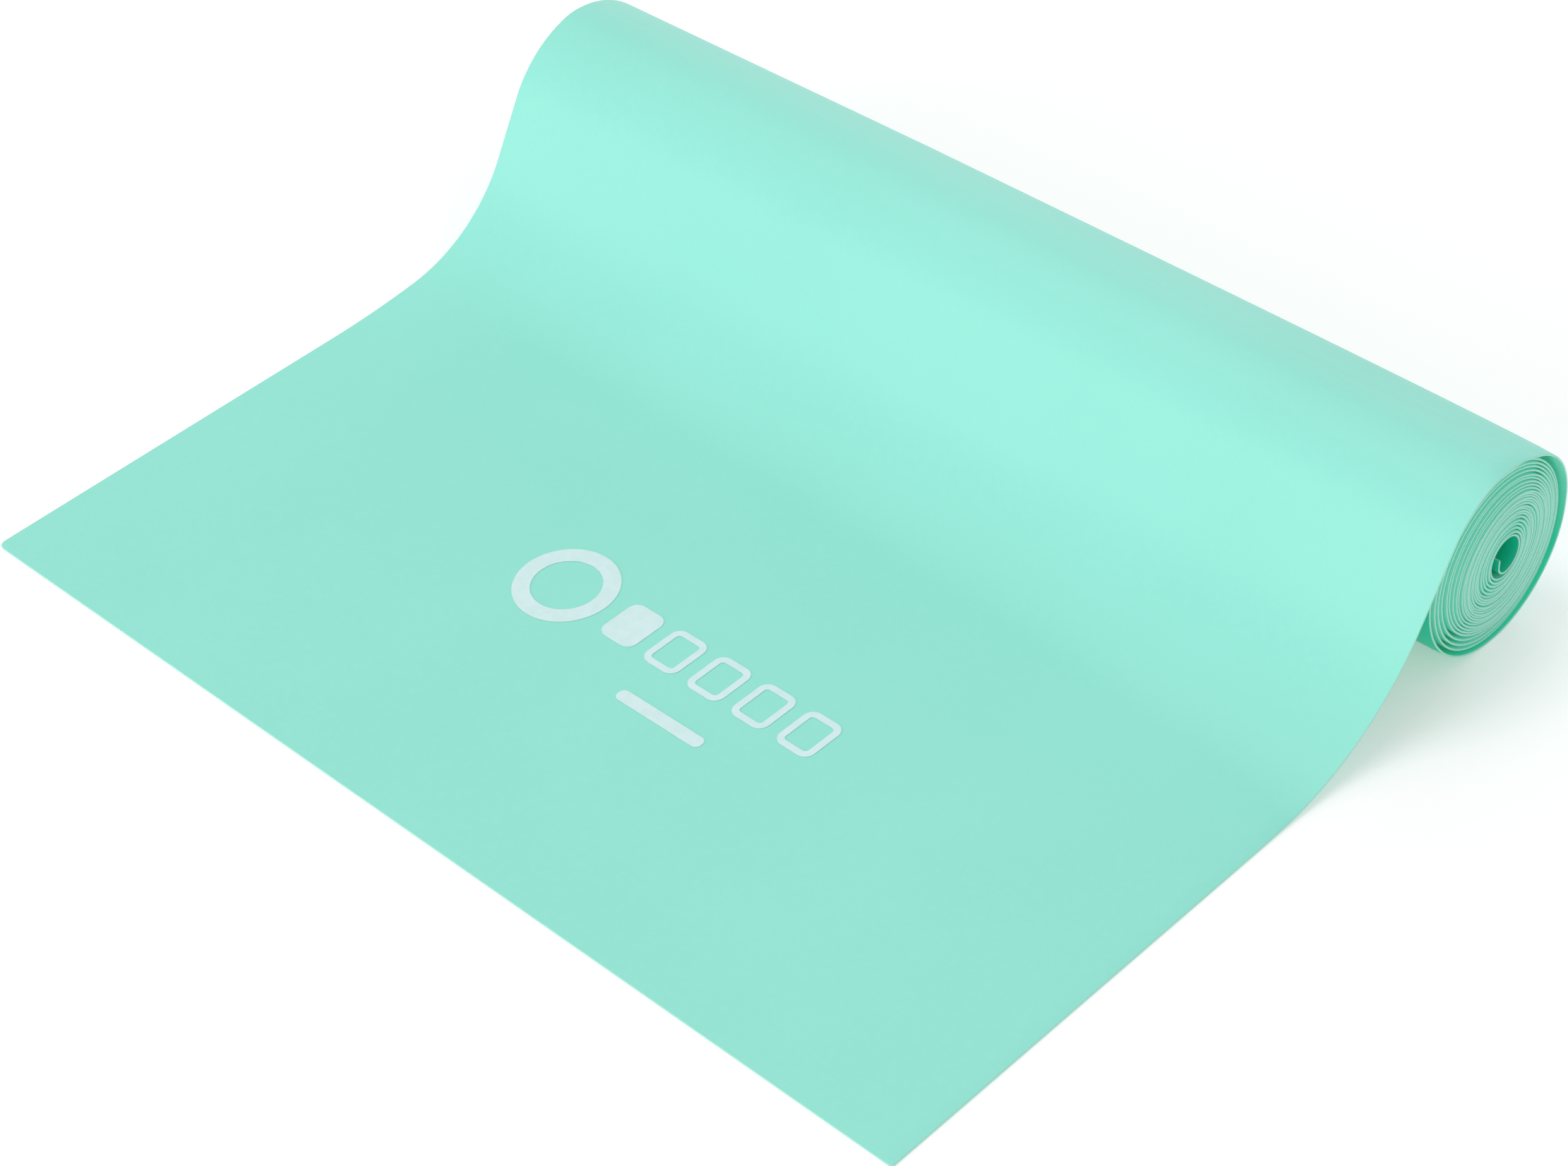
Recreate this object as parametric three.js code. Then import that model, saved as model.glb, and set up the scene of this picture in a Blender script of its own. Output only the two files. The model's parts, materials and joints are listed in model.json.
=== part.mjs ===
// A flat resistance band of thin latex sheet, partly rolled up.
// X runs along the band's width, Y from the free end towards the roll, Z up.
// Millimetres. The band lies on its base plane, z = 0, with the middle of its footprint at the origin.
//
// The band is one sheet. It is divided into stretches where it bends or winds, so that each can move.
import * as THREE from 'three';

// Sheet
const width = 150;
const thickness = 0.25;

// Flat tail, from the free end at y = 0
const tailLength = 60.1;
const curlLine = 22;
const liftLine = 52;
const halfGap = 0.2;

// Rise from the base plane to the top of the roll, as bend radii of the sheet's middle and turned angles
const riseRadius = 31.4;
const riseTurn = 54;
const crestRadius = 10;
const shoulderRadius = 15.5;
const shoulderTurn = 31.5;
const shoulderDrift = -0.3;

// The outermost wrap, then the loose turns inside it: [bend radius, turned angle, sideways drift at the end].
// The drift is how far the sheet was rolled up out of line. Without one, it stays at the winding's.
const wrapRadius = 12.54;
const windingDrift = -1.5;
const looseBends = [
  [wrapRadius, 90 - shoulderTurn, -0.9],
  [wrapRadius, 180, -1],
  [12, 120, -1.4],
  [12.9, 60],
  [11.02, 90],
  [12.6, 60],
  [11.2, 120],
  [11.88, 90],
  [10.74, 90],
  [11.9, 60],
  [10.6, 120],
];

// The wound turns, round an axis a little below and behind the wrap's
const windingOffset = new THREE.Vector2(0.86, -0.73);
const windingStart = 80;
const windingLean = -45;
// [turn, outer radius on the tight side, outer radius on the loose side], from outside to inside
const windingTurns = [
  [0, 10.35, 10.35],
  [6, 8.5, 6.2],
  [15.4, 5.6, 3.4],
  [19, 4.45, 0.9],
];

// Printed marks, as thin ink: a ring, and one row of bars that gives the resistance level
const inkHeight = 0.05;
const inkGap = 0.02;
const ringCentre = new THREE.Vector2(-15, 39.8);
const ringOuter = 6.6;
const ringInner = 4.4;
const barCount = 5;
const barWidth = 5.4;
const barHeight = 6.6;
const barPitch = 7.2;
const firstBarX = -3.6;
const barFrame = 0.9;
const barCorner = 1.4;
const ruleWidth = 13.6;
const ruleHeight = 1.8;
const ruleCentre = new THREE.Vector2(10.3, 30.7);

// How finely bends are divided, in degrees
const bendStep = 6;
const windingStep = 12;

const latex = new THREE.MeshStandardMaterial({ color: 0x94e4d4, roughness: 0.62, metalness: 0 });
const ink = new THREE.MeshStandardMaterial({ color: 0xd7eef0, roughness: 0.5, metalness: 0 });

const radians = THREE.MathUtils.degToRad;

// A walk along the middle of the sheet. Each point holds the sideways drift, y and z.
class SheetWalk {
  constructor(y, z, heading = 0, drift = 0) {
    this.y = y;
    this.z = z;
    this.heading = heading;
    this.drift = drift;
    this.points = [];
    this.mark();
  }

  mark() {
    this.points.push(new THREE.Vector3(this.drift, this.y, this.z));
  }

  straight(length) {
    this.y += length * Math.cos(this.heading);
    this.z += length * Math.sin(this.heading);
    this.mark();
    return this;
  }

  // Turns by an angle in degrees, left when it is positive, and drifts sideways on the way
  bend(radius, degrees, driftTo = this.drift) {
    const side = Math.sign(degrees);
    const steps = Math.ceil(Math.abs(degrees) / bendStep);
    const centreY = this.y - side * radius * Math.sin(this.heading);
    const centreZ = this.z + side * radius * Math.cos(this.heading);
    const startHeading = this.heading;
    const startDrift = this.drift;
    for (let i = 1; i <= steps; i += 1) {
      this.heading = startHeading + radians(degrees) * (i / steps);
      this.y = centreY + side * radius * Math.sin(this.heading);
      this.z = centreZ - side * radius * Math.cos(this.heading);
      this.drift = THREE.MathUtils.lerp(startDrift, driftTo, i / steps);
      this.mark();
    }
    return this;
  }

  // A new walk that goes on where this one ended, past a small gap
  next() {
    const y = this.y + halfGap * Math.cos(this.heading);
    const z = this.z + halfGap * Math.sin(this.heading);
    return new SheetWalk(y, z, this.heading, this.drift);
  }
}

// The closed solid of the sheet along a line of points: four corners at each point, joined to the next four
function sheetSolid(points) {
  const positions = [];
  const indices = [];
  const last = points.length - 1;
  points.forEach((point, i) => {
    const before = points[Math.max(i - 1, 0)];
    const after = points[Math.min(i + 1, last)];
    const run = Math.hypot(after.y - before.y, after.z - before.z);
    const offsetY = -((after.z - before.z) / run) * (thickness / 2);
    const offsetZ = ((after.y - before.y) / run) * (thickness / 2);
    const left = point.x - width / 2;
    const right = point.x + width / 2;
    positions.push(left, point.y + offsetY, point.z + offsetZ);
    positions.push(right, point.y + offsetY, point.z + offsetZ);
    positions.push(right, point.y - offsetY, point.z - offsetZ);
    positions.push(left, point.y - offsetY, point.z - offsetZ);
  });
  const quad = (a, b, c, d) => indices.push(a, b, c, a, c, d);
  for (let i = 0; i < last; i += 1) {
    for (let corner = 0; corner < 4; corner += 1) {
      const nextCorner = (corner + 1) % 4;
      quad(4 * i + corner, 4 * i + nextCorner, 4 * i + 4 + nextCorner, 4 * i + 4 + corner);
    }
  }
  quad(3, 2, 1, 0);
  quad(4 * last, 4 * last + 1, 4 * last + 2, 4 * last + 3);
  const geometry = new THREE.BufferGeometry();
  geometry.setAttribute('position', new THREE.Float32BufferAttribute(positions, 3));
  geometry.setIndex(indices);
  return geometry;
}

function named(name, geometry, material) {
  const mesh = new THREE.Mesh(geometry, material);
  mesh.name = name;
  return mesh;
}

function flatStretch(name, from, to) {
  const walk = new SheetWalk(from, thickness / 2).straight(to - from);
  return named(name, sheetSolid(walk.points), latex);
}

// The straight run of the slope that brings the wrap's lowest point down to the base plane
function slopeRun() {
  const flattening = (degrees) => 1 - Math.cos(radians(degrees));
  const drop = shoulderRadius * flattening(shoulderTurn) + wrapRadius * (2 - flattening(shoulderTurn));
  const bendsClimb = (riseRadius + crestRadius) * flattening(riseTurn);
  return (drop - bendsClimb) / Math.sin(radians(riseTurn));
}

function walkRise() {
  return new SheetWalk(tailLength + halfGap, thickness / 2)
    .bend(riseRadius, riseTurn)
    .straight(slopeRun())
    .bend(crestRadius, -riseTurn);
}

function walkWraps(rise) {
  const walk = rise.next().bend(shoulderRadius, -shoulderTurn, shoulderDrift);
  looseBends.forEach(([radius, degrees, drift = windingDrift]) => walk.bend(radius, -degrees, drift));
  return walk;
}

// The middle of the outermost wrap, one wrap radius inwards from where the shoulder ends
function wrapCentre(rise) {
  const turned = rise.next().bend(shoulderRadius, -shoulderTurn);
  return new THREE.Vector2(
    turned.y - wrapRadius * Math.sin(radians(shoulderTurn)),
    turned.z - wrapRadius * Math.cos(radians(shoulderTurn)),
  );
}

// Outer radii of the winding on its tight side and its loose side, after a number of turns
function windingRadii(turn) {
  const i = windingTurns.findIndex((row) => row[0] >= turn);
  const [fromTurn, fromTight, fromLoose] = windingTurns[Math.max(i - 1, 0)];
  const [toTurn, toTight, toLoose] = windingTurns[i];
  const share = toTurn > fromTurn ? (turn - fromTurn) / (toTurn - fromTurn) : 0;
  return [THREE.MathUtils.lerp(fromTight, toTight, share), THREE.MathUtils.lerp(fromLoose, toLoose, share)];
}

// A spiral, clockwise and inwards. Its turns crowd together on the side that the winding leans to.
function windingLine(axis) {
  const points = [];
  const turns = windingTurns[windingTurns.length - 1][0];
  const stepsPerTurn = 360 / windingStep;
  for (let i = 0; i <= turns * stepsPerTurn; i += 1) {
    const [tight, loose] = windingRadii(i / stepsPerTurn);
    const radius = (tight + loose) / 2 - thickness / 2;
    const lean = (tight - loose) / 2;
    const angle = radians(windingStart - i * windingStep);
    const y = axis.x + lean * Math.cos(radians(windingLean)) + radius * Math.cos(angle);
    const z = axis.y + lean * Math.sin(radians(windingLean)) + radius * Math.sin(angle);
    points.push(new THREE.Vector3(windingDrift, y, z));
  }
  return points;
}

function roundedBox(boxWidth, boxHeight, corner, PathClass) {
  const path = new PathClass();
  const x = boxWidth / 2 - corner;
  const y = boxHeight / 2 - corner;
  path.absarc(x, y, corner, 0, Math.PI / 2);
  path.absarc(-x, y, corner, Math.PI / 2, Math.PI);
  path.absarc(-x, -y, corner, Math.PI, 1.5 * Math.PI);
  path.absarc(x, -y, corner, 1.5 * Math.PI, 2 * Math.PI);
  path.closePath();
  return path;
}

function inkMark(name, shape, x, y, curveSegments) {
  const geometry = new THREE.ExtrudeGeometry(shape, { depth: inkHeight, bevelEnabled: false, curveSegments });
  const mesh = named(name, geometry, ink);
  mesh.position.set(x, y, thickness + inkGap);
  return mesh;
}

function printedRing() {
  const shape = new THREE.Shape();
  shape.absarc(0, 0, ringOuter, 0, 2 * Math.PI);
  const hole = new THREE.Path();
  hole.absarc(0, 0, ringInner, 0, 2 * Math.PI);
  shape.holes.push(hole);
  return inkMark('print_ring', shape, ringCentre.x, ringCentre.y, 32);
}

// The first bar is solid and the others are outlines: the lightest of the resistance levels
function printedBars() {
  const bars = [];
  for (let i = 0; i < barCount; i += 1) {
    const shape = roundedBox(barWidth, barHeight, barCorner, THREE.Shape);
    if (i > 0) {
      const frame = 2 * barFrame;
      shape.holes.push(roundedBox(barWidth - frame, barHeight - frame, barCorner - barFrame, THREE.Path));
    }
    bars.push(inkMark(`print_bar_${i + 1}`, shape, firstBarX + i * barPitch, ringCentre.y, 4));
  }
  return bars;
}

function printedRule() {
  const shape = roundedBox(ruleWidth, ruleHeight, ruleHeight * 0.45, THREE.Shape);
  return inkMark('print_rule', shape, ruleCentre.x, ruleCentre.y, 4);
}

function flatTail() {
  return [
    flatStretch('tail_end', 0, curlLine - halfGap),
    flatStretch('tail_middle', curlLine + halfGap, liftLine - halfGap),
    flatStretch('tail_root', liftLine + halfGap, tailLength - halfGap),
    printedRing(),
    ...printedBars(),
    printedRule(),
  ];
}

function rolledStretches() {
  const rise = walkRise();
  const axis = wrapCentre(rise).add(windingOffset);
  return [
    named('rising_stretch', sheetSolid(rise.points), latex),
    named('outer_wrap', sheetSolid(walkWraps(rise).points), latex),
    named('wound_turns', sheetSolid(windingLine(axis)), latex),
  ];
}

// Moves the whole band so that the middle of its footprint is at the origin
function centredOnFootprint(parts) {
  const band = new THREE.Group();
  band.add(...parts);
  const box = new THREE.Box3().setFromObject(band);
  const middle = box.getCenter(new THREE.Vector3());
  band.position.set(-middle.x, -middle.y, -box.min.z);
  return band;
}

export default centredOnFootprint([...flatTail(), ...rolledStretches()]);
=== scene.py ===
import json
import math

import bpy
import numpy as np
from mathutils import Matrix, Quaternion, Vector


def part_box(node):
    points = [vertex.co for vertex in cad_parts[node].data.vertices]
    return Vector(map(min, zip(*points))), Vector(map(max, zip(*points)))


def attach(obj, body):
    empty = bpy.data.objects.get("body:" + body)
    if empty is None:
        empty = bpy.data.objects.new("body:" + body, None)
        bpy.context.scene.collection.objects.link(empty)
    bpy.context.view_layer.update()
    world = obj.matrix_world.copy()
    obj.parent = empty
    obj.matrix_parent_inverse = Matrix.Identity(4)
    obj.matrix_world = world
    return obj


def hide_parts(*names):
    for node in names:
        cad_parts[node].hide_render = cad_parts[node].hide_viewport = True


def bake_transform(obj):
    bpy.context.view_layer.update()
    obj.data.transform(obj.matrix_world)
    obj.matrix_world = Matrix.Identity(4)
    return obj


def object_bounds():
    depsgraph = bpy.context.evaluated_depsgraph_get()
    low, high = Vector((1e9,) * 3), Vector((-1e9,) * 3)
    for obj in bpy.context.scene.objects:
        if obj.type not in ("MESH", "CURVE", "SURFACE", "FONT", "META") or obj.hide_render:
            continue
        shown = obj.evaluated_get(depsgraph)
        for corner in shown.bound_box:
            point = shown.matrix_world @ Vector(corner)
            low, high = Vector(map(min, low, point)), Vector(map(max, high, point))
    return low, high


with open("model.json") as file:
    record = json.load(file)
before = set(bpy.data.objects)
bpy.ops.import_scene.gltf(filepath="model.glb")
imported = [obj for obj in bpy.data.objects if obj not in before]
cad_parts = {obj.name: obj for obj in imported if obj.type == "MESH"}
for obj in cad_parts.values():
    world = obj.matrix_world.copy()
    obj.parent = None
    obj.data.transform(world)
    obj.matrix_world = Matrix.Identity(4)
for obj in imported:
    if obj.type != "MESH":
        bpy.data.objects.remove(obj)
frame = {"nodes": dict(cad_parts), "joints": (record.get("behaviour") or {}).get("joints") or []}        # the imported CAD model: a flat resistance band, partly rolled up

CAD_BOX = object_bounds()
MM = 0.001
SAME_POINT = 1e-7         # points closer than this count as one

# ---------------------------------------------------------------- what the frame gives
JOINTS = {joint["name"]: joint for joint in frame["joints"]}
SHEET_LOW, SHEET_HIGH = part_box("tail_end")
MIDDLE_X = (SHEET_LOW.x + SHEET_HIGH.x) / 2
WIDTH = SHEET_HIGH.x - SHEET_LOW.x
THICKNESS = SHEET_HIGH.z - SHEET_LOW.z
FREE_END = SHEET_LOW.y
RISE_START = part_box("rising_stretch")[0].y
CURL_LINE = JOINTS["tail_curl"]["pos_m"][1]
LIFT_LINE = JOINTS["tail_lift"]["pos_m"][1]
AXIS_Y, AXIS_Z = JOINTS["roll_turn"]["pos_m"][1:]

# ---------------------------------------------------------------- where the sheet is divided
TIP_SEAM = CURL_LINE + 7 * MM
BASE_SEAM = LIFT_LINE + 2 * MM

# ---------------------------------------------------------------- the rolled sheet
# The right-hand profile is the CAD's. Towards the left-hand end the turns are fuller, so the roll is a little
# thicker and the rise is tighter. A bend is its radius and its turned angle.
RIGHT_RISE = (31.4 * MM, 54)
RIGHT_CREST = (10 * MM, 54)
RIGHT_SHOULDER = (15.5 * MM, 31.5)
RIGHT_SHOULDER_DRIFT = -0.3 * MM
RIGHT_WRAP_RADIUS = 12.54 * MM
LEFT_LIFT = (133.2 * MM, 6.1)
LEFT_RISE = (23.01 * MM, 52.44)
LEFT_RUN = 8.49 * MM
LEFT_CREST = (16.49 * MM, 42.23)
LEFT_SHOULDER = (8 * MM, 16.31)
LEFT_WRAP_RADIUS = 13.24 * MM
CREST_GAP = 0.2 * MM      # the straight between the crest and the shoulder
FULL_FROM = -20 * MM      # from here to the left-hand end the profile is wholly the left-hand one
FULL_POWER = 0.4
RIGHT_FULLNESS = 0.12     # how much of the left-hand profile is already there at the right-hand end

# Turns of the sheet inside the outermost wrap: turn, then outer radii on the tight side, on the loose side
# and halfway between them. Up to turn 0 they are loose and belong to the roll. From there they turn as one.
LOOSE_LEAN = -10
LOOSE_TURNS = (
    (-3.5, 11.33 * MM, 13.1 * MM, 12.2 * MM),
    (0, 10.42 * MM, 10.53 * MM, 10.53 * MM),
)
LEFT_LOOSENESS = 0.6 * MM
WINDING_LEAN = -42
WINDING_TURNS = (
    (0, 10.35 * MM, 10.35 * MM, 10.35 * MM),
    (6, 8.79 * MM, 5.97 * MM, 8.19 * MM),
    (11.6, 7.28 * MM, 4.5 * MM, 6.59 * MM),
    (12.1, 7 * MM, 4.22 * MM, 6.31 * MM),
    (15.4, 6.1 * MM, 3.35 * MM, 5.35 * MM),
    (21, 4.68 * MM, 0.95 * MM, 2.82 * MM),
)
WRAP_TURN = -3.5          # where the outermost wrap has come down to its lowest point
LEAVES_WRAP = -3.45       # where the sheet starts to leave the wrap's circle
FREE_OF_WRAP = -3.08
LEAD_IN = 0.27            # turns in which the winding comes in from the last loose turn
# The inner end curls into the eye: bend radius, turned angle
EYE_BENDS = (
    (2.5 * MM, 175),
    (1.35 * MM, 95),
    (9 * MM, 7),
)

# Sideways drift at the right-hand end, which fades to none at the left-hand end
BACK_DRIFT = -0.9 * MM
LOW_DRIFT = -1 * MM
WINDING_DRIFT = -1.5 * MM
TELESCOPE = 0.1 * MM      # how far single turns stand out of line
# Waves that vary the drift from turn to turn: share, radians per turn, start
UNEVEN_WAVES = (
    (0.6, 2.3, 0),
    (0.4, 5.1, 1),
)

LEFT_CORNER = 1 * MM      # the free end's corner radii
RIGHT_CORNER = 0.4 * MM
CORNER_REACH = 0.4 * MM   # how near the side edges points move for a round corner

# ---------------------------------------------------------------- painted light and shade inside the roll
# Headings are in degrees from the flat tail, and go down as the sheet winds round.
LIT_DEPTH = 2.2 * MM      # how far daylight reaches in between the turns
RIM_SHADE = 0.1           # how much of a face's painted shade is left at its cut rims
GLOW = 0.12               # painted glow of the faces inside the roll, for light that comes through the sheet
UNDER_SLOPE = 90          # the heading at which the slope's underside would be wholly enclosed, in full painted shade
# Headings between which the outer face comes into painted shade, the rims lose most of it, and the outer face
# starts its painted glow
OUTER_SHADED = (-150, -190)
RIMS_LIT = (-280, -350)
OUTER_GLOWS = (-300, -360)
# How far the inner face is enclosed, and so in painted shade, past the top of the slope
INNER_HEADINGS = (-115, -65, 0, 60)
INNER_SHADES = (1, 0.15, 0.15, 0.6)

# ---------------------------------------------------------------- mesh fineness
BEND_STEP = 0.2 * MM
LIFT_STEPS = 60
RISE_STEPS = 60
RUN_STEPS = 20
CREST_STEPS = 24
WRAP_STEPS = 36
TURN_STEPS = 90
EYE_STEP = 5              # degrees
CORNER_STEPS = 8
SHEET_COLUMNS = 30
CORE_COLUMNS = 3
RIM_STEPS = 3
RIM_RADIUS = 0.36 * THICKNESS
SHARP_ANGLE = 50

# ---------------------------------------------------------------- camera, lights and floor
CAMERA_PLACE = (0.24368, -0.21775, 0.27717)
CAMERA_LOOKING = (-0.56041, 0.51130, -0.65154)
CAMERA_ROLL = -5.197
CAMERA_LENS = 82.41       # mm, on a sensor 36 mm wide
WORLD_STRENGTH = 0.56
LIGHT_SIZE = 0.9
# Each light's name, place and power
LIGHTS = (
    ("front light", (-0.5, -1.1, 0.35), 6.4),
    ("top light", (-0.3, 0, 1.3), 4.1),
    ("back light", (-0.6, 1, 0.5), 2.6),
    ("right-hand light", (1.2, -0.3, 0.5), 2.5),
)
FLOOR_REACH = 3
FLOOR_DROP = 0.02 * MM
FLOOR_WHITE = 0.8
FLOOR_GLOW = 0.28

# ---------------------------------------------------------------- surfaces
NOISE_SPAN = (0.3, 0.7)   # where most of a noise's values lie
CLOUD_SIZE = 34 * MM
CLOUD_DEPTH = 0.12 * MM
POWDER_SIZE = 0.9 * MM
POWDER_DEPTH = 0.004 * MM
POWDER_SPAN = (0.45, 0.8)
POWDER_COVER = 0.3
LATEX_ROUGHNESS = (0.46, 0.56)
COVER_SIZE = 1.6 * MM     # of the ink's thin and thick places
COVER_DEPTH = 0.01 * MM
GRAIN_SIZE = 0.3 * MM
GRAIN_DEPTH = 0.006 * MM
INK_ROUGHNESS = (0.42, 0.55)


# ================================================================ camera and lights
def make_camera():
    """The view from the free end's right-hand corner, looking down and along the band."""
    data = bpy.data.cameras.new("camera")
    data.sensor_fit = "HORIZONTAL"
    data.sensor_width = 36
    data.lens = CAMERA_LENS
    data.clip_start = 0.01
    data.clip_end = 20
    camera = bpy.data.objects.new("camera", data)
    roll = Quaternion((0, 0, 1), math.radians(CAMERA_ROLL))
    camera.location = CAMERA_PLACE
    camera.rotation_mode = "QUATERNION"
    camera.rotation_quaternion = Vector(CAMERA_LOOKING).to_track_quat("-Z", "Y") @ roll
    bpy.context.scene.collection.objects.link(camera)
    bpy.context.scene.camera = camera


def soft_light(name, place, power):
    """A large round light that faces the origin."""
    data = bpy.data.lights.new(name, "AREA")
    data.shape = "DISK"
    data.size = LIGHT_SIZE
    data.energy = power
    light = bpy.data.objects.new(name, data)
    light.location = place
    light.rotation_mode = "QUATERNION"
    light.rotation_quaternion = (-Vector(place)).to_track_quat("-Z", "Y")
    bpy.context.scene.collection.objects.link(light)


def make_surroundings():
    """A white room with large soft lights all round the band, the strongest before it and above it."""
    world = bpy.data.worlds.new("white room")
    world.use_nodes = True
    background = world.node_tree.nodes["Background"]
    background.inputs["Color"].default_value = (1, 1, 1, 1)
    background.inputs["Strength"].default_value = WORLD_STRENGTH
    bpy.context.scene.world = world
    bpy.context.scene.view_settings.view_transform = "Standard"
    for name, place, power in LIGHTS:
        soft_light(name, place, power)


def make_floor():
    mesh = bpy.data.meshes.new("floor")
    corners = [(x * FLOOR_REACH, y * FLOOR_REACH, 0) for x, y in ((-1, -1), (1, -1), (1, 1), (-1, 1))]
    mesh.from_pydata(corners, [], [(0, 1, 2, 3)])
    floor = bpy.data.objects.new("floor", mesh)
    floor.location.z = CAD_BOX[0].z - FLOOR_DROP
    floor.data.materials.append(floor_material())
    bpy.context.scene.collection.objects.link(floor)


# ================================================================ materials
def new_material(name):
    material = bpy.data.materials.new(name)
    material.use_nodes = True
    nodes = material.node_tree.nodes
    return material, nodes, material.node_tree.links, nodes["Principled BSDF"]


def rgb(red, green, blue):
    """A colour given in sRGB, 0 to 255, as the linear values that shaders take."""
    def linear(value):
        value /= 255
        return value / 12.92 if value <= 0.04045 else ((value + 0.055) / 1.055) ** 2.4
    return (linear(red), linear(green), linear(blue), 1)


def noise_of(nodes, links, size, detail, roughness):
    """A noise node on the piece's own coordinates. The size is its largest features', in metres."""
    place = nodes.new("ShaderNodeTexCoord")
    grain = nodes.new("ShaderNodeTexNoise")
    grain.inputs["Scale"].default_value = 1 / size
    grain.inputs["Detail"].default_value = detail
    grain.inputs["Roughness"].default_value = roughness
    links.new(place.outputs["Object"], grain.inputs["Vector"])
    return grain.outputs["Fac"]


def ranged(nodes, links, value, span, to_span):
    """Maps a value from one range to another."""
    node = nodes.new("ShaderNodeMapRange")
    for name, number in zip(("From Min", "From Max", "To Min", "To Max"), (*span, *to_span)):
        node.inputs[name].default_value = number
    links.new(value, node.inputs["Value"])
    return node.outputs["Result"]


def mixed(nodes, links, share, first, second):
    """A mix of two colours, each a value or a socket."""
    node = nodes.new("ShaderNodeMix")
    node.data_type = "RGBA"
    links.new(share, node.inputs["Factor"])
    for name, colour in (("A", first), ("B", second)):
        socket = next(s for s in node.inputs if s.name == name and s.type == "RGBA")
        if isinstance(colour, bpy.types.NodeSocket):
            links.new(colour, socket)
        else:
            socket.default_value = colour
    return next(s for s in node.outputs if s.type == "RGBA")


def attribute_of(nodes, name):
    node = nodes.new("ShaderNodeAttribute")
    node.attribute_name = name
    return node.outputs["Fac"]


def bumped(nodes, links, shader, layers):
    """Stacks bump maps on a shader, each a height value and how deep it is in metres."""
    below = None
    for height, depth in layers:
        bump = nodes.new("ShaderNodeBump")
        bump.inputs["Distance"].default_value = depth
        links.new(height, bump.inputs["Height"])
        if below is not None:
            links.new(below, bump.inputs["Normal"])
        below = bump.outputs["Normal"]
    links.new(below, shader.inputs["Normal"])


def latex_material(name, plain, dusted, cloudy, inside, glow=None):
    """Matte latex sheet: faint clouds of colour and a bloom of fine powder. Inside the roll its colour is
    painted deeper, as painted shade where the light has come through other turns, and a painted glow stands
    for that light."""
    material, nodes, links, shader = new_material(name)
    clouds = noise_of(nodes, links, CLOUD_SIZE, detail=2, roughness=0.5)
    powder = noise_of(nodes, links, POWDER_SIZE, detail=3, roughness=0.6)
    enclosed = attribute_of(nodes, "enclosed")
    colour = mixed(nodes, links, ranged(nodes, links, clouds, NOISE_SPAN, (0, 1)), cloudy, plain)
    dust = ranged(nodes, links, powder, POWDER_SPAN, (0, POWDER_COVER))
    colour = mixed(nodes, links, dust, colour, dusted)
    # painted shade: towards the deep green, as far as the point is inside the roll
    colour = mixed(nodes, links, enclosed, colour, inside)
    links.new(colour, shader.inputs["Base Color"])
    # painted glow: emission that stands for light coming through the sheet
    if glow:
        shader.inputs["Emission Color"].default_value = glow
        links.new(attribute_of(nodes, "lit_through"), shader.inputs["Emission Strength"])
    links.new(ranged(nodes, links, powder, NOISE_SPAN, LATEX_ROUGHNESS), shader.inputs["Roughness"])
    shader.inputs["Specular IOR Level"].default_value = 0.5
    bumped(nodes, links, shader, ((clouds, CLOUD_DEPTH), (powder, POWDER_DEPTH)))
    return material


def face_material():
    return latex_material(
        "latex",
        plain=rgb(147, 230, 214),
        dusted=rgb(156, 233, 219),
        cloudy=rgb(144, 228, 211),
        # the painted shade colour, deep inside the roll
        inside=rgb(8, 207, 165),
        # the painted glow's colour
        glow=rgb(100, 210, 180),
    )


def cut_material():
    """The cut rims are paler than the faces."""
    return latex_material(
        "latex_cut",
        plain=rgb(161, 225, 207),
        dusted=rgb(167, 228, 211),
        cloudy=rgb(156, 222, 203),
        # the rims' painted shade colour, deep inside the roll
        inside=rgb(155, 220, 200),
    )


def ink_material():
    """Pale screen-printed ink: a thin film whose cover is a little uneven."""
    material, nodes, links, shader = new_material("ink")
    cover = noise_of(nodes, links, COVER_SIZE, detail=4, roughness=0.65)
    grain = noise_of(nodes, links, GRAIN_SIZE, detail=3, roughness=0.6)
    thin, thick = rgb(206, 235, 234), rgb(218, 240, 243)
    colour = mixed(nodes, links, ranged(nodes, links, cover, NOISE_SPAN, (0, 1)), thin, thick)
    links.new(colour, shader.inputs["Base Color"])
    links.new(ranged(nodes, links, cover, NOISE_SPAN, INK_ROUGHNESS), shader.inputs["Roughness"])
    bumped(nodes, links, shader, ((cover, COVER_DEPTH), (grain, GRAIN_DEPTH)))
    return material


def floor_material():
    """White and matte. It glows a little, so that it stays pale in the band's shadow."""
    material, _, _, shader = new_material("floor")
    shader.inputs["Base Color"].default_value = (FLOOR_WHITE, FLOOR_WHITE, FLOOR_WHITE, 1)
    shader.inputs["Emission Color"].default_value = (1, 1, 1, 1)
    shader.inputs["Emission Strength"].default_value = FLOOR_GLOW
    shader.inputs["Roughness"].default_value = 0.9
    shader.inputs["Specular IOR Level"].default_value = 0.1
    return material


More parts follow.
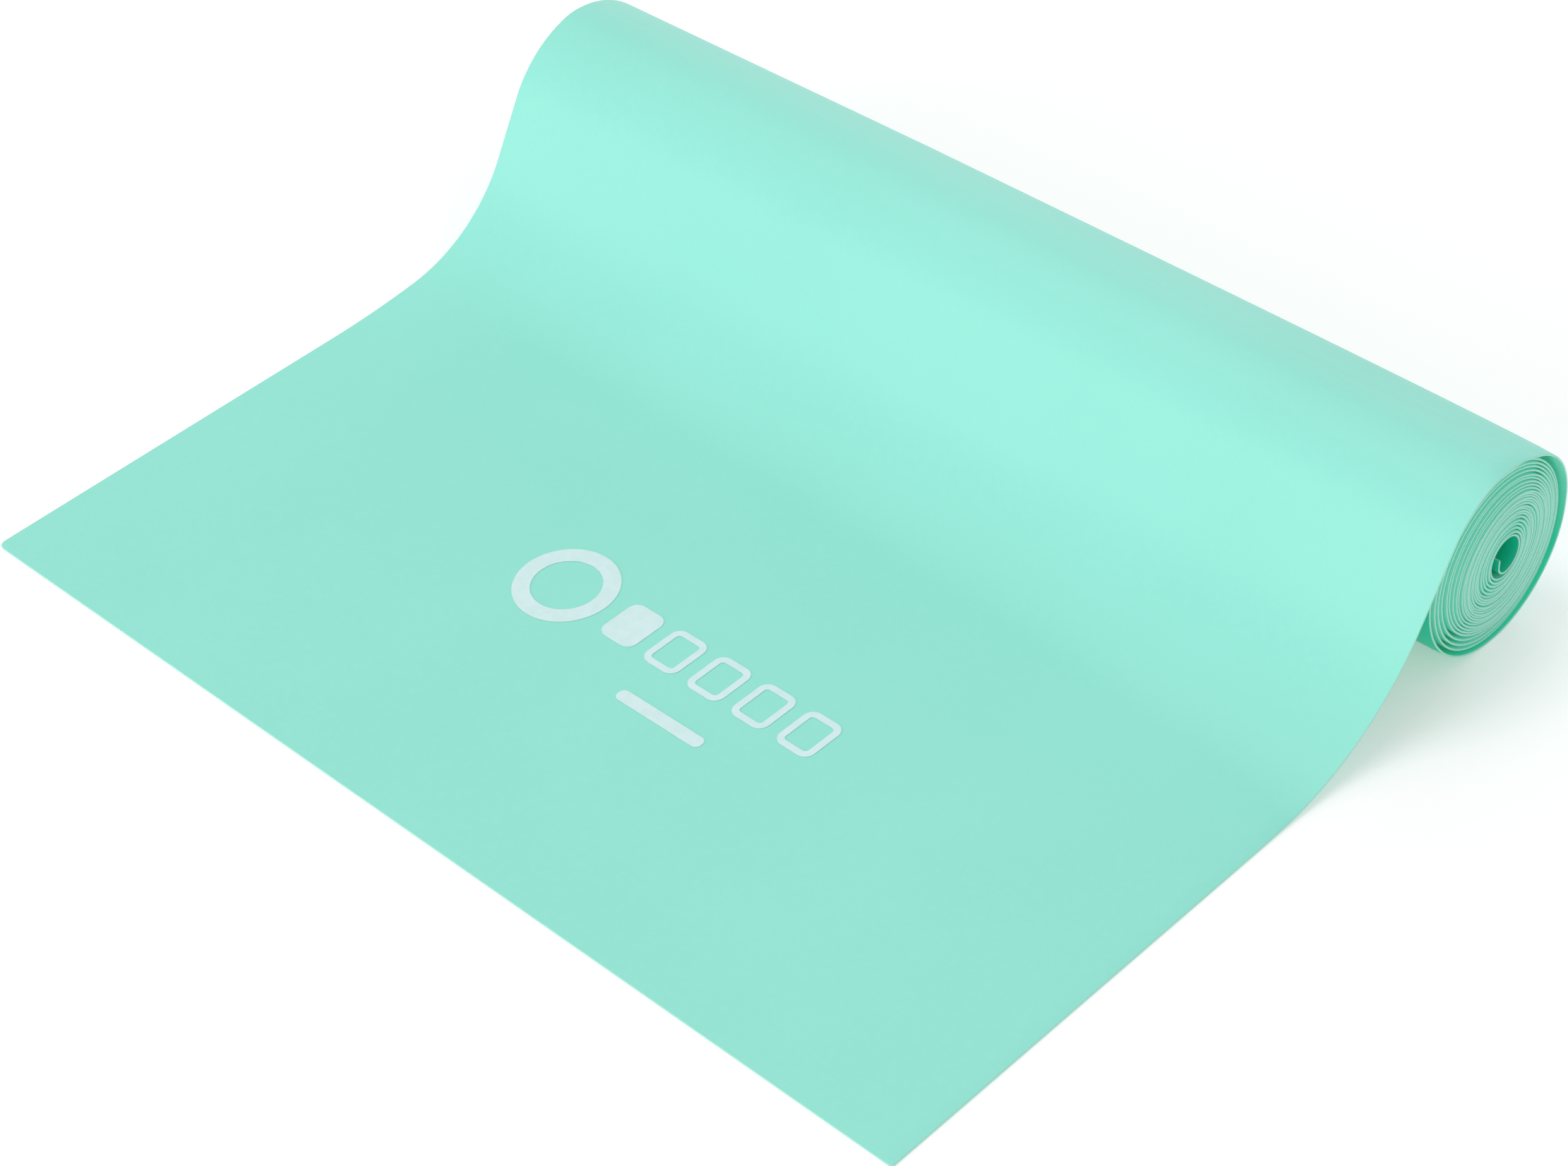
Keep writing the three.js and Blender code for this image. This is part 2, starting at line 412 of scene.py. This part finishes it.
# ================================================================ the walk along the sheet
class SheetWalk:
    """A walk along the middle of the sheet. Each station is y, z, heading and sideways drift."""

    def __init__(self, y, z, heading=0.0, drift=0.0):
        self.y, self.z, self.heading, self.drift = y, z, heading, drift
        self.stations = [(y, z, heading, drift)]

    def mark(self):
        self.stations.append((self.y, self.z, self.heading, self.drift))

    def straight(self, length, steps):
        for _ in range(steps):
            self.y += length / steps * math.cos(self.heading)
            self.z += length / steps * math.sin(self.heading)
            self.mark()
        return self

    def bend(self, radius, degrees, steps, drift_to=None):
        """Turns by an angle, anticlockwise as seen from the right-hand end when it is positive, and drifts
        sideways on the way."""
        drift_to = self.drift if drift_to is None else drift_to
        side = math.copysign(1, degrees)
        centre_y = self.y - side * radius * math.sin(self.heading)
        centre_z = self.z + side * radius * math.cos(self.heading)
        from_heading, from_drift = self.heading, self.drift
        for i in range(1, steps + 1):
            self.heading = from_heading + math.radians(degrees) * i / steps
            self.y = centre_y + side * radius * math.sin(self.heading)
            self.z = centre_z - side * radius * math.cos(self.heading)
            self.drift = from_drift + (drift_to - from_drift) * i / steps
            self.mark()
        return self


def smooth_step(share):
    share = np.clip(share, 0, 1)
    return share * share * (3 - 2 * share)


def uneven(turn):
    """From about -1 to 1: how the winding varies from turn to turn."""
    return sum(share * math.sin(rate * turn + start) for share, rate, start in UNEVEN_WAVES)


def with_headings(points, drifts):
    ahead = np.gradient(np.array(points), axis=0)
    headings = np.unwrap(np.arctan2(ahead[:, 1], ahead[:, 0]))
    return [(y, z, heading, drift) for (y, z), heading, drift in zip(points, headings, drifts)]


def spiral_point(turn, angle, turns, lean_angle, looser=0, stands_off=0):
    """A point on the middle of the sheet, on turns that crowd together on the side that they lean to.
    Looser turns are larger and reach as far down, so their centre is higher."""
    listed, *radii = zip(*turns)
    tight, loose, between = (np.interp(turn, listed, side) for side in radii)
    lean_angle = math.radians(lean_angle)
    oval = (tight + loose - 2 * between) / 4 * math.cos(2 * (angle - lean_angle))
    radius = (tight + loose + 2 * between) / 4 + oval - THICKNESS / 2 + looser + stands_off
    lean = (tight - loose) / 2
    return (AXIS_Y + lean * math.cos(lean_angle) + radius * math.cos(angle),
            AXIS_Z + looser + lean * math.sin(lean_angle) + radius * math.sin(angle))


def walk_free_end():
    """The flat sheet from its free end, with closer stations round the corners."""
    walk = SheetWalk(FREE_END, THICKNESS / 2)
    for i in range(CORNER_STEPS):
        reach = LEFT_CORNER * (1 - math.cos(math.radians(90 * (i + 1) / CORNER_STEPS)))
        walk.straight(FREE_END + reach - walk.y, 1)
    walk.straight(TIP_SEAM - walk.y, round((TIP_SEAM - walk.y) / BEND_STEP))
    return walk.stations


def walk_flat():
    """The flat sheet from the free end's seam to the seam before the rise."""
    length = BASE_SEAM - TIP_SEAM
    return SheetWalk(TIP_SEAM, THICKNESS / 2).straight(length, round(length / BEND_STEP)).stations


def slope_run():
    """The straight run of the right-hand slope that brings the wrap's lowest point down to the base plane."""
    def flattening(degrees):
        return 1 - math.cos(math.radians(degrees))
    rise_radius, rise_turn = RIGHT_RISE
    crest_radius, _ = RIGHT_CREST
    shoulder_radius, shoulder_turn = RIGHT_SHOULDER
    drop = shoulder_radius * flattening(shoulder_turn) + RIGHT_WRAP_RADIUS * (2 - flattening(shoulder_turn))
    bends_climb = (rise_radius + crest_radius) * flattening(rise_turn)
    return (drop - bends_climb) / math.sin(math.radians(rise_turn))


def walk_crest(walk, crest, shoulder, drift_to):
    """Over the top of the roll, from the slope to the outermost wrap."""
    (crest_radius, crest_turn), (shoulder_radius, shoulder_turn) = crest, shoulder
    walk.bend(crest_radius, -crest_turn, CREST_STEPS)
    walk.straight(CREST_GAP, 1)
    walk.bend(shoulder_radius, -shoulder_turn, CREST_STEPS, drift_to)


def walk_wraps(walk, wrap_radius, looseness, shoulder_turned):
    """The outermost wrap and the loose turns inside it. The shoulder has turned by some of its angle."""
    walk.bend(wrap_radius, shoulder_turned - 90, WRAP_STEPS, BACK_DRIFT)
    walk.bend(wrap_radius, -90, WRAP_STEPS, LOW_DRIFT)
    centre_y, centre_z = walk.y, walk.z + wrap_radius
    points = []
    drifts = []
    for i in range(1, round(-WRAP_TURN * TURN_STEPS) + 1):
        turn = WRAP_TURN + i / TURN_STEPS
        angle = math.radians(90) - math.tau * turn
        on_wrap = (centre_y + wrap_radius * math.cos(angle), centre_z + wrap_radius * math.sin(angle))
        inside = spiral_point(turn, angle, LOOSE_TURNS, LOOSE_LEAN, looseness * turn / WRAP_TURN)
        share = smooth_step((turn - LEAVES_WRAP) / (FREE_OF_WRAP - LEAVES_WRAP))
        points.append(tuple(a + (b - a) * share for a, b in zip(on_wrap, inside)))
        drifts.append(LOW_DRIFT + (WINDING_DRIFT - LOW_DRIFT) * share + TELESCOPE * uneven(turn) * share)
    joined = [(y, z) for y, z, _, _ in walk.stations[-2:]]
    wound = with_headings(joined + points, [walk.drift] * 2 + drifts)
    full_turns = round((walk.heading - wound[0][2]) / math.tau) * math.tau
    return walk.stations + [(y, z, heading + full_turns, drift) for y, z, heading, drift in wound[2:]]


def walk_right():
    """The profile at the right-hand end of the roll, from the flat tail to the last loose turn."""
    walk = SheetWalk(BASE_SEAM, THICKNESS / 2).straight(RISE_START - BASE_SEAM, LIFT_STEPS)
    walk.bend(*RIGHT_RISE, RISE_STEPS)
    walk.straight(slope_run(), RUN_STEPS)
    walk_crest(walk, RIGHT_CREST, RIGHT_SHOULDER, RIGHT_SHOULDER_DRIFT)
    return walk_wraps(walk, RIGHT_WRAP_RADIUS, 0, RIGHT_SHOULDER[1])


def walk_left():
    """The same profile at the left-hand end, with as many stations."""
    walk = SheetWalk(BASE_SEAM, THICKNESS / 2).bend(*LEFT_LIFT, LIFT_STEPS)
    walk.bend(*LEFT_RISE, RISE_STEPS)
    walk.straight(LEFT_RUN, RUN_STEPS)
    walk_crest(walk, LEFT_CREST, LEFT_SHOULDER, 0)
    return walk_wraps(walk, LEFT_WRAP_RADIUS, LEFT_LOOSENESS, 0)


def walk_core(joined):
    """The wound turns, clockwise and inwards, from the last station of the loose turns to the eye."""
    from_y, from_z = joined[0] - AXIS_Y, joined[1] - AXIS_Z
    start_angle = math.atan2(from_z, from_y)
    start_off = math.hypot(from_y, from_z) - (WINDING_TURNS[0][1] - THICKNESS / 2)
    points = []
    drifts = []
    for i in range(int(WINDING_TURNS[-1][0] * TURN_STEPS) + 1):
        turn = i / TURN_STEPS
        angle = start_angle - math.tau * turn
        stands_off = start_off * (1 - smooth_step(turn / LEAD_IN))
        points.append(spiral_point(turn, angle, WINDING_TURNS, WINDING_LEAN, 0, stands_off))
        drifts.append(WINDING_DRIFT + TELESCOPE * uneven(turn))
    (before_y, before_z), (y, z) = points[-2:]
    eye = SheetWalk(y, z, math.atan2(z - before_z, y - before_y), drifts[-1])
    for radius, degrees in EYE_BENDS:
        eye.bend(radius, -degrees, math.ceil(degrees / EYE_STEP))
    points += [(y, z) for y, z, _, _ in eye.stations[1:]]
    drifts += [drifts[-1]] * (len(eye.stations) - 1)
    return with_headings(points, drifts)


# ================================================================ painted light and shade inside the roll
# A piece's enclosure has five values, each for all its stations or for one at a time: how far inside the roll
# its outer and inner faces are, from 0 to 1, which sets their painted shade, how much of that is left at the
# cut rims, and how strongly its outer and inner faces take a painted glow.
OPEN = (0, 0, 0, 0, 0)


def passed(turned, headings):
    """How far a heading has gone, from 0 to 1, between two others."""
    first, last = headings
    return smooth_step((turned - first) / (last - first))


# Painted shade and painted glow along the rolled sheet, set by its heading
def roll_enclosure(stations):
    turned = np.degrees([heading for _, _, heading, _ in stations])
    climbing = np.arange(len(turned)) <= turned.argmax()
    outer = passed(turned, OUTER_SHADED)
    past_top = np.interp(turned, INNER_HEADINGS, INNER_SHADES)
    inner = np.where(climbing, turned / UNDER_SLOPE, past_top)
    at_rims = 1 - (1 - RIM_SHADE) * passed(turned, RIMS_LIT)
    return outer, inner, at_rims, GLOW * passed(turned, OUTER_GLOWS), GLOW * ~climbing


def core_enclosure(stations):
    """All of it is inside the roll. Round the eye its rims keep their painted shade and it has no painted
    glow.
    """
    in_the_eye = smooth_step(np.arange(len(stations)) / TURN_STEPS - WINDING_TURNS[-1][0] + 1)
    glow = GLOW * (1 - in_the_eye)
    return 1, 1, RIM_SHADE + (1 - RIM_SHADE) * in_the_eye, glow, glow


# ================================================================ sheet meshes
def sheet_section(columns):
    """The sheet's section as a closed loop of points: across the width and through the thickness."""
    half, rise = WIDTH / 2 - RIM_RADIUS, THICKNESS / 2 - RIM_RADIUS
    across = [half * (2 * i / columns - 1) for i in range(columns + 1)]
    across[1:1] = [LIT_DEPTH - half]
    across[-1:-1] = [half - LIT_DEPTH]

    def rim(side, corners):
        for height, first in corners:
            for i in range(RIM_STEPS + 1):
                angle = math.radians(first - 90 * i / RIM_STEPS)
                yield side + RIM_RADIUS * math.cos(angle), height + RIM_RADIUS * math.sin(angle)

    loop = [(x, THICKNESS / 2) for x in across]
    loop += rim(half, ((rise, 90), (-rise, 0)))
    loop += [(x, -THICKNESS / 2) for x in reversed(across)]
    loop += rim(-half, ((-rise, -90), (rise, -180)))
    kept = [loop[0]]
    for point in loop[1:]:
        if math.dist(point, kept[-1]) > SAME_POINT:
            kept.append(point)
    if math.dist(kept[0], kept[-1]) < SAME_POINT:
        kept.pop()
    return np.array(kept)


def fullness(x):
    """How far the profile has changed from the right-hand end's (0) to the left-hand end's (1)."""
    share = np.clip((WIDTH / 2 - x) / (WIDTH / 2 - FULL_FROM), 0, 1) ** FULL_POWER
    return RIGHT_FULLNESS + (1 - RIGHT_FULLNESS) * share


def corner_cuts(y, across, corners):
    """How far each point moves inwards so that the free end's corners are round."""
    cuts = np.zeros((len(y), len(across)))
    for side, radius in zip((-1, 1), corners):
        short = np.clip(radius - (y - y[0]), 0, radius)
        cut = radius - np.sqrt(radius * radius - short * short)
        at_edge = WIDTH / 2 - side * across < CORNER_REACH
        cuts -= side * cut[:, None] * at_edge[None, :]
    return cuts


def sheet_points(section, right, left, corners):
    """Rows of points, one for each station, on the section."""
    across, out = section.T
    share = fullness(across)[None, :]
    y, z, heading, drift = [
        a[:, None] * (1 - share) + b[:, None] * share
        for a, b in zip(np.array(right).T, np.array(left).T)
    ]
    drift = drift * (0.5 + across[None, :] / WIDTH)
    if corners is not None:
        drift = drift + corner_cuts(y[:, 0], across, corners)
    return np.stack((
        MIDDLE_X + drift + across[None, :],
        y - np.sin(heading) * out[None, :],
        z + np.cos(heading) * out[None, :],
    ), axis=-1)


def sheet_faces(section, rows):
    """The faces between the rows and at both ends, and whether each is on a cut rim."""
    count = len(section)
    on_rim = np.abs(section[:, 0]) >= WIDTH / 2 - RIM_RADIUS - SAME_POINT
    faces = []
    rims = []
    for i in range(rows - 1):
        for j in range(count):
            k = (j + 1) % count
            faces.append((i * count + j, i * count + k, (i + 1) * count + k, (i + 1) * count + j))
            rims.append(on_rim[j] and on_rim[k])
    faces.append(tuple(reversed(range(count))))
    faces.append(tuple((rows - 1) * count + j for j in range(count)))
    return faces, rims + [True, True]


def add_shades(mesh, section, rows, enclosed):
    """Writes how far inside the roll each point is, which sets its painted shade, and how much light comes
    through to it, which sets its painted glow.
    """
    outer, inner, at_rims, outer_glow, inner_glow = (np.broadcast_to(v, rows)[:, None] for v in enclosed)
    across, out = section.T
    outwards = out[None, :] / THICKNESS + 0.5
    near_rim = np.clip(1 - (WIDTH / 2 - np.abs(across)) / LIT_DEPTH, 0, 1)
    depth = (inner + (outer - inner) * outwards) * (1 - near_rim * (1 - at_rims))
    glow = inner_glow + (outer_glow - inner_glow) * outwards
    # enclosed carries the painted shade, lit_through the painted glow
    for name, value in (("enclosed", depth), ("lit_through", glow)):
        attribute = mesh.attributes.new(name, "FLOAT", "POINT")
        attribute.data.foreach_set("value", value.ravel().astype(np.float32))


def make_sheet(name, right, left, columns, materials, enclosed=OPEN, corners=None):
    """A closed strip of sheet between two lines of stations, at its right-hand and left-hand edges.
    Its cut rims take the second material."""
    section = sheet_section(columns)
    points = sheet_points(section, right, left, corners)
    faces, rims = sheet_faces(section, len(points))
    mesh = bpy.data.meshes.new(name)
    mesh.from_pydata(points.reshape(-1, 3).tolist(), [], faces)
    for material in materials:
        mesh.materials.append(material)
    mesh.polygons.foreach_set("material_index", [int(rim) for rim in rims])
    add_shades(mesh, section, len(points), enclosed)
    mesh.shade_smooth()
    mesh.set_sharp_from_angle(angle=math.radians(SHARP_ANGLE))
    mesh.update()
    sheet = bpy.data.objects.new(name, mesh)
    bpy.context.scene.collection.objects.link(sheet)
    return sheet


def make_band(materials):
    free_end, flat = walk_free_end(), walk_flat()
    right, left = walk_right(), walk_left()
    core = walk_core(right[-1])

    corners = (LEFT_CORNER, RIGHT_CORNER)
    tip = make_sheet("band_free_end", free_end, free_end, SHEET_COLUMNS, materials, corners=corners)
    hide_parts("tail_end")
    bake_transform(tip)

    panel = make_sheet("band_flat", flat, flat, SHEET_COLUMNS, materials)
    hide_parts("tail_middle", "tail_root")
    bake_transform(panel)

    roll = make_sheet("band_rolled", right, left, SHEET_COLUMNS, materials, roll_enclosure(right))
    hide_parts("rising_stretch", "outer_wrap")
    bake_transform(roll)

    winding = make_sheet("band_core", core, core, CORE_COLUMNS, materials, core_enclosure(core))
    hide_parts("wound_turns")
    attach(winding, "roll_core")


# ================================================================ prints
def print_marks(material):
    """The printed marks keep their CAD shapes: thin ink on the tail."""
    for name, node in frame["nodes"].items():
        if name.startswith("print_"):
            node.data.materials.clear()
            node.data.materials.append(material)


make_camera()
make_surroundings()
make_floor()
make_band((face_material(), cut_material()))
print_marks(ink_material())
